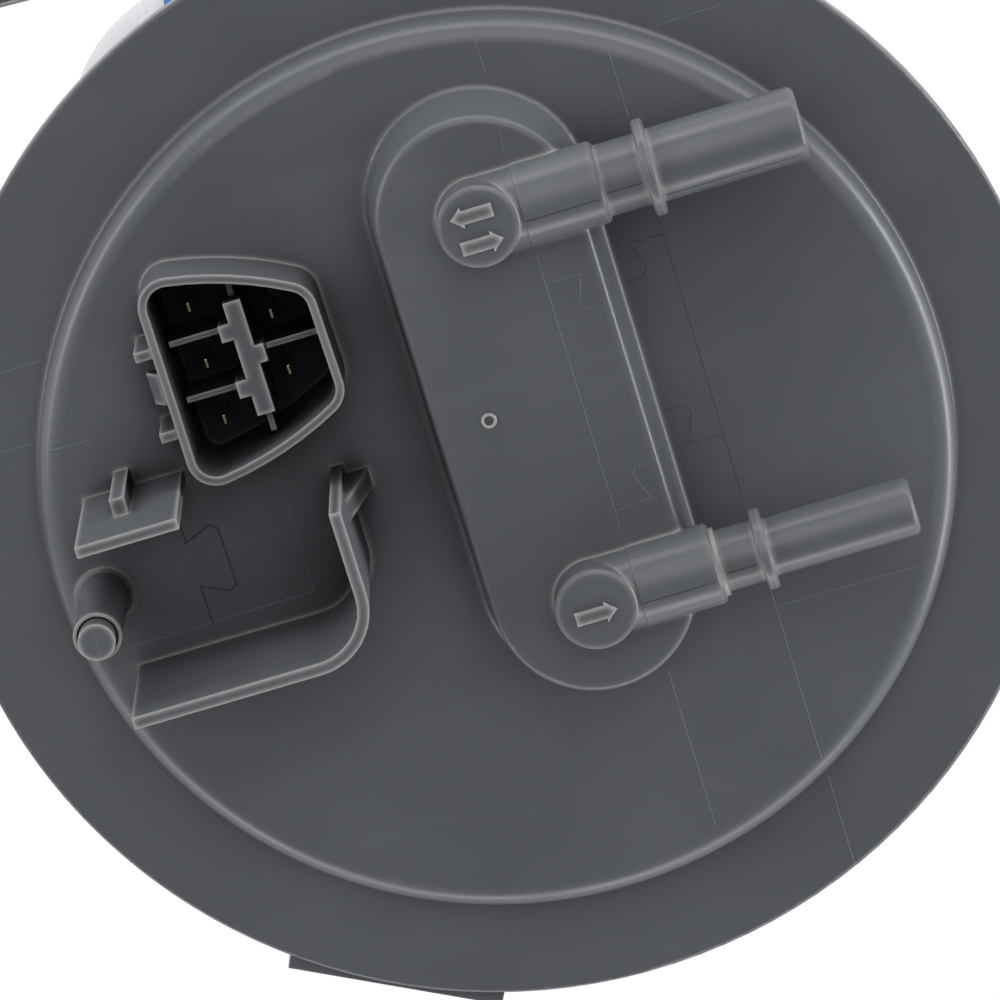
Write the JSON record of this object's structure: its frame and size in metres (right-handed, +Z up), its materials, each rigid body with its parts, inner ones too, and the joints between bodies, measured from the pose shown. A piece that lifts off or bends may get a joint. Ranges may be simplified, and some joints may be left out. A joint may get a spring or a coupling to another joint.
{
  "type": "fuel pump module",
  "caption": "In-tank fuel pump module: round flange with two quick-connect elbows and an electrical socket, over a sprung reservoir holding pump, strainer and level float.",
  "frame": {"origin": "centre of the tank opening, on the sealing face under the flange rim", "axes": "+Z up, out of the tank along the opening's axis; +X the way the two quick-connect tubes point; +Y towards the larger tube, and the level sender's side of the reservoir"},
  "size_m": [0.191, 0.152, 0.246],
  "materials": {
    "flange_moulding": "satin moulded acetal, dark grey",
    "terminal_gold": "gold-flashed blade tips",
    "seal_rubber": "moulded fluoroelastomer",
    "rod_steel": "ground and bright",
    "clip_steel": "stamped spring steel",
    "spring_steel": "drawn wire",
    "plug_plastic": "moulded polyamide, black",
    "supply_nylon": "corrugation-free nylon line, black",
    "return_nylon": "natural nylon line, milky",
    "clip_plastic": "moulded clip, blue",
    "wire_red": "fuel-proof insulation",
    "wire_black": "fuel-proof insulation",
    "wire_mixed": "fuel-proof insulation",
    "bucket_acetal": "moulded acetal, natural",
    "lid_acetal": "moulded acetal, black",
    "cradle_acetal": "moulded acetal, natural",
    "can_steel": "zinc-plated drawn steel",
    "isolator_rubber": "soft nitrile",
    "cap_plastic": "glass-filled PPS",
    "plate_aluminium": "die cast and lapped",
    "thrust_steel": "hardened",
    "bearing_bronze": "sintered bronze",
    "shaft_steel": "ground",
    "lamination_steel": "stacked sheet",
    "winding_copper": "enamelled copper wire",
    "commutator_carbon": "carbon segments",
    "hub_plastic": "phenolic moulding",
    "magnet_ferrite": "sintered ferrite",
    "brush_carbon": "pressed carbon",
    "impeller_plastic": "phenolic moulding",
    "valve_plastic": "moulded acetal",
    "terminal_tin": "tinned brass",
    "sock_mesh": "melt-blown filter mesh",
    "frame_plastic": "moulded acetal",
    "jet_acetal": "moulded acetal, black",
    "valve_rubber": "fluorosilicone",
    "sender_acetal": "moulded acetal, black",
    "card_ceramic": "printed ceramic card",
    "arm_acetal": "moulded acetal, natural",
    "contact_metal": "sprung contact strip",
    "arm_wire": "hard-drawn stainless",
    "float_foam": "closed-cell nitrile foam"
  },
  "bodies": {
    "flange": {"flange_cover": "flange_moulding", "connector_terminals": "terminal_gold", "tank_seal": "seal_rubber", "guide_rods": "rod_steel", "rod_clips": "clip_steel", "lift_springs": "spring_steel", "harness_plug": "plug_plastic", "supply_hose": "supply_nylon", "return_hose": "return_nylon", "hose_clip": "clip_plastic", "pump_wire_red": "wire_red", "pump_wire_black": "wire_black", "sender_wires": "wire_mixed"},
    "reservoir": {"reservoir_bucket": "bucket_acetal", "reservoir_lid": "lid_acetal", "pump_cradle": "cradle_acetal", "pump_can": "can_steel", "upper_isolator": "isolator_rubber", "lower_isolator": "isolator_rubber", "outlet_cap": "cap_plastic", "inlet_plate": "plate_aluminium", "thrust_button": "thrust_steel", "outlet_plate": "plate_aluminium", "shaft_bearings": "bearing_bronze", "motor_magnets": "magnet_ferrite", "motor_brushes": "brush_carbon", "brush_springs": "spring_steel", "check_spring": "spring_steel", "check_retainer": "valve_plastic", "pump_terminals": "terminal_tin", "pump_plug": "plug_plastic", "strainer_sock": "sock_mesh", "strainer_frame": "frame_plastic", "jet_pump": "jet_acetal", "sender_housing": "sender_acetal", "resistor_card": "card_ceramic"},
    "pump_rotor": {"rotor_shaft": "shaft_steel", "armature_core": "lamination_steel", "armature_windings": "winding_copper", "commutator": "commutator_carbon", "commutator_hub": "hub_plastic", "impeller": "impeller_plastic"},
    "check_valve": {"check_poppet": "valve_plastic"},
    "fill_flap": {"fill_valve": "valve_rubber"},
    "float_arm": {"arm_hub": "arm_acetal", "wiper_contact": "contact_metal", "float_rod": "arm_wire", "float_retainer": "clip_steel"},
    "float": {"float_body": "float_foam"}
  },
  "joints": [
    {"name": "reservoir_slide", "type": "slide", "parent": "flange", "child": "reservoir", "axis": [0, 0, 1], "range_m": [0, 0.025], "stiffness_N_per_m": 600, "springref_m": -0.05, "deforming": ["lift_springs", "return_hose", "hose_clip", "supply_hose", "pump_wire_red", "pump_wire_black", "sender_wires"]},
    {"name": "pump_spin", "type": "hinge", "parent": "reservoir", "child": "pump_rotor", "pos_m": [0.01, -0.016, -0.145], "axis": [0, 0, 1], "continuous": true},
    {"name": "check_valve_lift", "type": "slide", "parent": "reservoir", "child": "check_valve", "axis": [0, 0, 1], "range_m": [0, 0.0015], "stiffness_N_per_m": 60, "springref_m": -0.003, "deforming": ["check_spring"]},
    {"name": "fill_valve_lift", "type": "slide", "parent": "reservoir", "child": "fill_flap", "axis": [0, 0, 1], "range_m": [0, 0.0008]},
    {"name": "float_arm_swing", "type": "hinge", "parent": "reservoir", "child": "float_arm", "pos_m": [-0.006, 0.0531, -0.148], "axis": [0, 1, 0], "range_deg": [0, 60]},
    {"name": "float_turn", "type": "hinge", "parent": "float_arm", "child": "float", "pos_m": [-0.10303, 0.0311, -0.17219], "axis": [0, 1, 0], "continuous": true}
  ]
}
